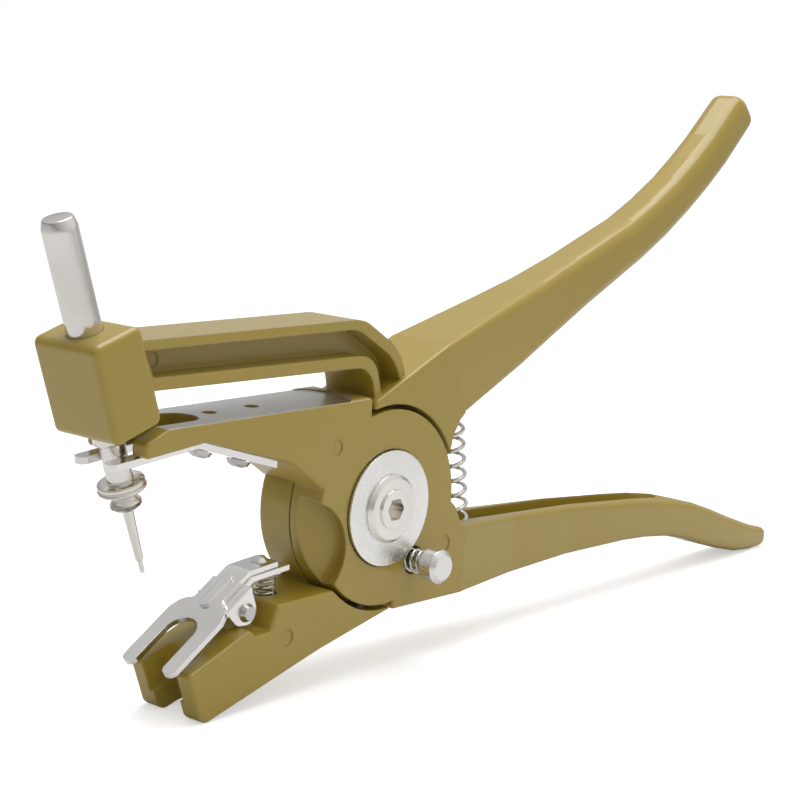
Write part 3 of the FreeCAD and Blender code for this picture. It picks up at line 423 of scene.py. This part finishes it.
lowBox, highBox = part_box("clip_spring")
wire = clipSpringSizes["wire"]
seat = middle("clip_spring")
bottom = np.array([seat[0], 0.0, lowBox.z + wire])
top = np.array([seat[0], 0.0, highBox.z - wire])
clipPath = coilPath(bottom, top, clipSpringSizes["radius"], clipSpringSizes["turns"])
clipCoil = sweptTube("clipCoil", clipPath, wire)
finish(clipCoil, steels["springWire"])
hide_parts("clip_spring")
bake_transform(clipCoil)
print("springs made")

# turned pieces on the plunger axis: (radius, height along the axis, rounding), millimetres
needleSizes = {"profile": [
    (0.25, -7.6, 0), (0.62, -7.5, 0.15), (0.65, -6.9, 0.1), (0.65, -4.0, 0.1),
    (1.05, -3.8, 0.1), (1.5, 11.2, 0.1), (2.9, 11.25, 0.3), (4.15, 12.3, 0.9), (4.15, 13.2, 0.9),
    (2.9, 14.4, 0.3), (2.9, 14.9, 0.2), (3.6, 15.3, 0.3), (3.6, 16.28, 0.2), (0.5, 16.28, 0)]}
needleTurned = turnedPiece("needleTurned", needleSizes["profile"], rodFoot, rodAxis)
finish(needleTurned, steels["polishedSteel"])
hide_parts("needle")
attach(needleTurned, "plunger")

rodSizes = {"profile": [
    (0.5, 16.3, 0), (5.6, 16.3, 0.3), (6.5, 17.0, 0.4), (6.5, 17.7, 0.3), (5.7, 18.05, 0.15),
    (6.3, 18.3, 0.2), (6.3, 19.1, 0.3), (5.2, 19.6, 0.2), (3.45, 19.62, 0.1), (3.45, 30.25, 0.1),
    (4.2, 30.32, 0.2), (4.6, 30.8, 0.2), (4.6, 87.8, 0.5), (3.9, 90.3, 0.3), (0.5, 90.4, 0)]}
rodTurned = turnedPiece("rodTurned", rodSizes["profile"], rodFoot, rodAxis)
finish(rodTurned, steels["polishedSteel"])
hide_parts("plunger_rod")
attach(rodTurned, "plunger")
print("plunger made")

# floor, lamps and camera
sceneLook = {"floor": (0.76, 0.76, 0.77), "paleFloor": (0.78, 0.78, 0.79), "floorGlow": 0.5,
             "forward": (0.759, 0.651, 0.0), "side": (0.651, -0.759, 0.0), "halfWide": 3.0, "sink": 0.00002,
             "floorSize": 3.0, "wallAway": 1.6, "wallHigh": 0.1, "sweep": 0.7}


def makeBackdrop():
    # floor that sweeps up into a wall behind the object, square to the camera
    u = np.linspace(0, 1, 60)
    flat = sceneLook["floorSize"]
    bend = sceneLook["sweep"]
    arcLength = bend * np.pi / 2
    total = flat + arcLength + sceneLook["wallHigh"]
    s = u * total
    start = sceneLook["wallAway"] - bend
    turned = np.clip((s - flat) / bend, 0, np.pi / 2)
    onFloor = s < flat
    onWall = s >= flat + arcLength
    sweepAlong = start + bend * np.sin(turned)
    sweepHeight = bend * (1 - np.cos(turned))
    along = np.where(onFloor, start - flat + s, np.where(onWall, sceneLook["wallAway"], sweepAlong))
    height = np.where(onFloor, 0.0, np.where(onWall, bend + s - flat - arcLength, sweepHeight))
    v = np.linspace(-sceneLook["halfWide"], sceneLook["halfWide"], 8)
    forward = np.array(sceneLook["forward"])
    side = np.array(sceneLook["side"])
    points = (along[:, None, None] * forward + v[None, :, None] * side
              + height[:, None, None] * np.array([0.0, 0.0, 1.0]))
    points[..., 2] -= sceneLook["sink"]
    return newPiece("backdrop", points, gridFaces(len(s), 8, False)[:, ::-1])


backdrop = makeBackdrop()
floorMaterial, tree, shader = newMaterial("paleFloor")
dots = useGroup(tree, speckleGroup, Scale=0.2)
floorColour = mixColour(tree, dots.outputs["Slow"], sceneLook["floor"], sceneLook["paleFloor"])
tree.links.new(floorColour, shader.inputs["Base Color"])
shader.inputs["Roughness"].default_value = 0.7
shader.inputs["Emission Color"].default_value = (1.0, 1.0, 1.0, 1.0)
seen = addNode(tree, "ShaderNodeLightPath").outputs["Is Camera Ray"]
tree.links.new(addMath(tree, "MULTIPLY", seen, sceneLook["floorGlow"]), shader.inputs["Emission Strength"])
shader.inputs["Specular IOR Level"].default_value = 0.2
finish(backdrop, floorMaterial)

lightLevels = {"worldLow": 0.27, "worldHigh": 0.50, "brightSide": (0.40, -0.30, 0.866), "topLamp": 5.3,
               "lampPlace": (0.1, 0.05, 0.9), "lampSize": (0.8, 0.6), "aim": (0.0, 0.0, 0.06)}


def makeWorld():
    # pale sky that is brightest high up on the right and in front
    world = bpy.data.worlds.new("studio")
    bpy.context.scene.world = world
    world.use_nodes = True
    tree = world.node_tree
    place = addNode(tree, "ShaderNodeTexCoord")
    toward = addNode(tree, "ShaderNodeVectorMath", operation="DOT_PRODUCT")
    toward.inputs[1].default_value = lightLevels["brightSide"]
    tree.links.new(place.outputs["Generated"], toward.inputs[0])
    sky = remap(tree, toward.outputs["Value"], -0.3, 0.9)
    glow = addMath(tree, "MULTIPLY", sky, lightLevels["worldHigh"])
    strength = addMath(tree, "ADD", glow, lightLevels["worldLow"])
    background = tree.nodes["Background"]
    background.inputs["Color"].default_value = (1.0, 1.0, 1.0, 1.0)
    tree.links.new(strength, background.inputs["Strength"])


makeWorld()


def areaLamp(name, place, target, width, height, power):
    lamp = bpy.data.lights.new(name, "AREA")
    lamp.shape = "RECTANGLE"
    lamp.size = width
    lamp.size_y = height
    lamp.energy = power
    holder = bpy.data.objects.new(name, lamp)
    bpy.context.scene.collection.objects.link(holder)
    holder.location = place
    holder.rotation_euler = (Vector(target) - Vector(place)).to_track_quat("-Z", "Y").to_euler()
    return holder


areaLamp("topLamp", lightLevels["lampPlace"], lightLevels["aim"], *lightLevels["lampSize"],
         lightLevels["topLamp"])

cameraLook = {"fromPivot": (-421.7, -376.0, 131.1), "right": (0.656, -0.753, 0.047),
              "back": (-0.747, -0.641, 0.176), "lens": 90.0, "sensor": 36.0}
cameraPlace = pivot + np.array(cameraLook["fromPivot"]) * mm
right = Vector(cameraLook["right"]).normalized()
back = Vector(cameraLook["back"]).normalized()
up = back.cross(right).normalized()
right = up.cross(back).normalized()
camera = bpy.data.objects.new("camera", bpy.data.cameras.new("camera"))
bpy.context.scene.collection.objects.link(camera)
camera.data.lens = cameraLook["lens"]
camera.data.sensor_width = cameraLook["sensor"]
camera.data.clip_start = 0.02
camera.data.clip_end = 20.0
camera.matrix_world = Matrix((
    (right.x, up.x, back.x, cameraPlace[0]),
    (right.y, up.y, back.y, cameraPlace[1]),
    (right.z, up.z, back.z, cameraPlace[2]),
    (0, 0, 0, 1)))
bpy.context.scene.camera = camera
bpy.context.scene.view_settings.view_transform = "Standard"
print("stage set")
